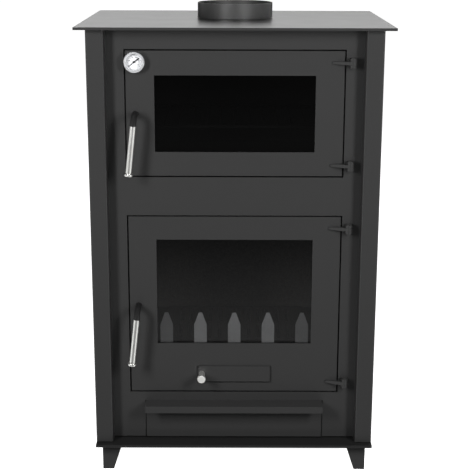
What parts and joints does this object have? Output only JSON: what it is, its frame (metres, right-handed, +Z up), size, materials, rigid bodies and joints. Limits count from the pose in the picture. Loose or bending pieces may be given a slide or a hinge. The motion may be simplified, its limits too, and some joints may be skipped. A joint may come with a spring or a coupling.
{
  "type": "wood cookstove",
  "caption": "Free-standing sheet-steel wood cookstove: glazed oven door above a glazed fire door with log guard, air slide, ash drawer, cooking plate and flue collar.",
  "frame": {"origin": "on the floor, below the middle of the cooking plate", "axes": "+X to the right seen from the front, +Y to the back, +Z up"},
  "size_m": [0.6, 0.46, 0.93],
  "materials": {
    "black_paint": "satin black heat-resistant paint on sheet steel",
    "stainless_steel": "polished stainless steel",
    "inner_steel": "bare sheet steel, darkened by heat",
    "bare_steel": "grey sheet steel with its mill skin",
    "cast_iron": "rough cast iron",
    "rack_enamel": "black enamel on steel wire",
    "firebrick": "dark grey fireclay, matt",
    "window_glass": "clear glass ceramic",
    "lens_glass": "clear glass",
    "gauge_metal": "satin nickel plate",
    "dial_white": "white enamelled disc with plain numbers",
    "needle_black": "matt black",
    "rope_seal": "woven glass-fibre rope",
    "zinc_steel": "zinc-plated steel"
  },
  "bodies": {
    "stove_body": {"top_plate": "black_paint", "flue_collar": "black_paint", "left_side_casing": "black_paint", "right_side_casing": "black_paint", "rear_panel": "black_paint", "rear_panel_screws": "zinc_steel", "front_panel": "black_paint", "base_plate": "black_paint", "front_left_foot": "black_paint", "front_right_foot": "black_paint", "rear_left_foot": "black_paint", "rear_right_foot": "black_paint", "left_inner_wall": "inner_steel", "right_inner_wall": "inner_steel", "rear_inner_wall": "inner_steel", "oven_box": "inner_steel", "oven_rack_rails": "inner_steel", "oven_rack": "rack_enamel", "hearth_plate": "inner_steel", "fire_grate": "cast_iron", "left_firebrick": "firebrick", "right_firebrick": "firebrick", "rear_firebrick": "firebrick", "log_guard": "bare_steel", "left_drawer_runner": "inner_steel", "right_drawer_runner": "inner_steel", "oven_door_frame": "inner_steel", "fire_door_frame": "inner_steel", "hinge_brackets": "black_paint", "hinge_pins": "black_paint"},
    "oven_door": {"oven_door_plate": "black_paint", "oven_glass_gasket": "rope_seal", "oven_door_glass": "window_glass", "oven_glass_clips": "zinc_steel", "oven_door_seal": "rope_seal", "oven_hinge_arms": "black_paint", "thermometer_case": "gauge_metal", "thermometer_dial": "dial_white", "thermometer_lens": "lens_glass"},
    "needle": {"thermometer_needle": "needle_black"},
    "oven_handle": {"oven_handle_stem": "black_paint", "oven_handle_grip": "stainless_steel", "oven_handle_cap": "stainless_steel", "oven_latch_cam": "zinc_steel"},
    "fire_door": {"fire_door_plate": "black_paint", "fire_glass_gasket": "rope_seal", "fire_door_glass": "window_glass", "fire_glass_clips": "zinc_steel", "fire_door_seal": "rope_seal", "fire_hinge_arms": "black_paint"},
    "fire_handle": {"fire_handle_stem": "black_paint", "fire_handle_grip": "stainless_steel", "fire_handle_cap": "stainless_steel", "fire_latch_cam": "zinc_steel"},
    "air_slide": {"air_slide_plate": "black_paint", "air_slide_keeper": "zinc_steel", "air_slide_knob": "stainless_steel"},
    "ash_drawer": {"ash_drawer_front": "black_paint", "ash_drawer_tray": "inner_steel"}
  },
  "joints": [
    {"name": "oven_door_hinge", "type": "hinge", "parent": "stove_body", "child": "oven_door", "pos_m": [0.223, -0.195, 0.73275], "axis": [0, 0, 1], "range_deg": [0, 110]},
    {"name": "fire_door_hinge", "type": "hinge", "parent": "stove_body", "child": "fire_door", "pos_m": [0.223, -0.195, 0.34775], "axis": [0, 0, 1], "range_deg": [0, 110]},
    {"name": "oven_handle_turn", "type": "hinge", "parent": "oven_door", "child": "oven_handle", "pos_m": [-0.1907, -0.184, 0.73275], "axis": [0, 1, 0], "range_deg": [0, 75]},
    {"name": "fire_handle_turn", "type": "hinge", "parent": "fire_door", "child": "fire_handle", "pos_m": [-0.1907, -0.184, 0.34775], "axis": [0, 1, 0], "range_deg": [0, 75]},
    {"name": "needle_turn", "type": "hinge", "parent": "oven_door", "child": "needle", "pos_m": [-0.1907, -0.184, 0.8325], "axis": [0, 1, 0], "range_deg": [0, 255]},
    {"name": "air_slide_travel", "type": "slide", "parent": "fire_door", "child": "air_slide", "axis": [1, 0, 0], "range_m": [0, 0.06]},
    {"name": "ash_drawer_pull", "type": "slide", "parent": "stove_body", "child": "ash_drawer", "axis": [0, -1, 0], "range_m": [0, 0.28]}
  ]
}
